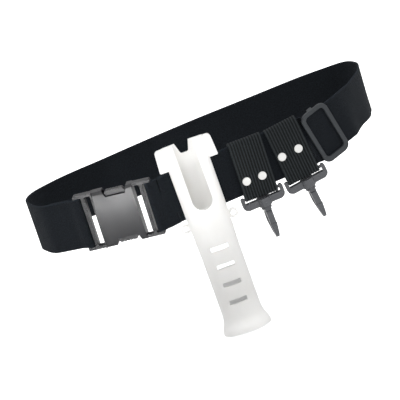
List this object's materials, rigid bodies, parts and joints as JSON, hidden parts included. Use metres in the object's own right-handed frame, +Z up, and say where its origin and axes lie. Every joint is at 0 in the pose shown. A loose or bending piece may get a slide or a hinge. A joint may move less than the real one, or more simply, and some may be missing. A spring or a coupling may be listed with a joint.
{
  "type": "fishing waist belt",
  "caption": "Webbing waist belt with a side-release buckle, a front tube that holds a fishing rod butt, and swivel snap hooks on hanging tabs.",
  "frame": {"origin": "centre of the waist loop, at half the height of the webbing", "axes": "+Z up as worn, the front faces -Y, +X to the right as seen from the front"},
  "size_m": [0.3507, 0.1798, 0.1945],
  "materials": {
    "belt_webbing": "woven elastic webbing, matt black",
    "tab_webbing": "ribbed webbing, matt black",
    "rivet_plastic": "white moulded plastic",
    "holder_plastic": "milky translucent moulded plastic",
    "glide_plastic": "matt dark grey moulded plastic",
    "hook_plastic": "glossy black moulded plastic",
    "buckle_plastic": "satin black moulded plastic"
  },
  "bodies": {
    "belt": {"strap_main": "belt_webbing", "buckle_housing": "buckle_plastic"},
    "plug": {"strap_left": "belt_webbing", "buckle_plug": "buckle_plastic"},
    "latch_upper": {"latch_arm_upper": "buckle_plastic"},
    "latch_lower": {"latch_arm_lower": "buckle_plastic"},
    "holder": {"rod_holder": "holder_plastic"},
    "glide": {"tri_glide": "glide_plastic", "strap_tail": "belt_webbing"},
    "tab_left": {"tab_left_webbing": "tab_webbing", "tab_left_rivet_caps": "rivet_plastic", "tab_left_rivet_posts": "rivet_plastic"},
    "hook_left_frame_body": {"hook_left_frame": "hook_plastic"},
    "hook_left_swivel_body": {"hook_left_body": "hook_plastic"},
    "hook_left_gate_body": {"hook_left_gate": "hook_plastic"},
    "tab_right": {"tab_right_webbing": "tab_webbing", "tab_right_rivet_caps": "rivet_plastic", "tab_right_rivet_posts": "rivet_plastic"},
    "hook_right_frame_body": {"hook_right_frame": "hook_plastic"},
    "hook_right_swivel_body": {"hook_right_body": "hook_plastic"},
    "hook_right_gate_body": {"hook_right_gate": "hook_plastic"}
  },
  "joints": [
    {"name": "buckle_unplug", "type": "slide", "parent": "belt", "child": "plug", "axis": [-0.9432, 0.3248, 0.0698], "range_m": [0, 0.036]},
    {"name": "latch_upper_squeeze", "type": "hinge", "parent": "plug", "child": "latch_upper", "pos_m": [-0.08643, -0.02757, 0.02287], "axis": [0.3256, 0.9455, 0], "range_deg": [0, 8], "stiffness_Nm_per_rad": 2, "springref_deg": -2.29},
    {"name": "latch_lower_squeeze", "type": "hinge", "parent": "plug", "child": "latch_lower", "pos_m": [-0.08907, -0.02666, -0.01703], "axis": [-0.3256, -0.9455, 0], "range_deg": [0, 8], "stiffness_Nm_per_rad": 2, "springref_deg": -2.29},
    {"name": "holder_slide", "type": "slide", "parent": "belt", "child": "holder", "axis": [1, 0, 0], "range_m": [-0.009, 0.003]},
    {"name": "glide_slide", "type": "slide", "parent": "belt", "child": "glide", "axis": [0.9624, 0.1524, 0.225], "range_m": [0, 0.008]},
    {"name": "tab_left_slide", "type": "slide", "parent": "belt", "child": "tab_left", "axis": [1, 0, 0], "range_m": [-0.005, 0]},
    {"name": "hook_left_swing", "type": "hinge", "parent": "tab_left", "child": "hook_left_frame_body", "pos_m": [0.05699, -0.0452, -0.0296], "axis": [-1, 0, 0.0052], "range_deg": [-40, 80]},
    {"name": "hook_left_swivel", "type": "hinge", "parent": "hook_left_frame_body", "child": "hook_left_swivel_body", "pos_m": [0.05694, -0.0452, -0.04], "axis": [0.0052, 0, 1], "continuous": true},
    {"name": "hook_left_gate_open", "type": "hinge", "parent": "hook_left_swivel_body", "child": "hook_left_gate_body", "pos_m": [0.05689, -0.0501, -0.0488], "axis": [1, 0, -0.0052], "range_deg": [0, 26], "stiffness_Nm_per_rad": 0.05, "springref_deg": -8.59},
    {"name": "tab_right_slide", "type": "slide", "parent": "belt", "child": "tab_right", "axis": [1, 0, 0], "range_m": [-0.001, 0]},
    {"name": "hook_right_swing", "type": "hinge", "parent": "tab_right", "child": "hook_right_frame_body", "pos_m": [0.10164, -0.0452, -0.02946], "axis": [-0.9954, 0, -0.0958], "range_deg": [-40, 80]},
    {"name": "hook_right_swivel", "type": "hinge", "parent": "hook_right_frame_body", "child": "hook_right_swivel_body", "pos_m": [0.10263, -0.0452, -0.03982], "axis": [-0.0958, 0, 0.9954], "continuous": true},
    {"name": "hook_right_gate_open", "type": "hinge", "parent": "hook_right_swivel_body", "child": "hook_right_gate_body", "pos_m": [0.10348, -0.0501, -0.04858], "axis": [0.9954, 0, 0.0958], "range_deg": [0, 26], "stiffness_Nm_per_rad": 0.05, "springref_deg": -8.59}
  ]
}
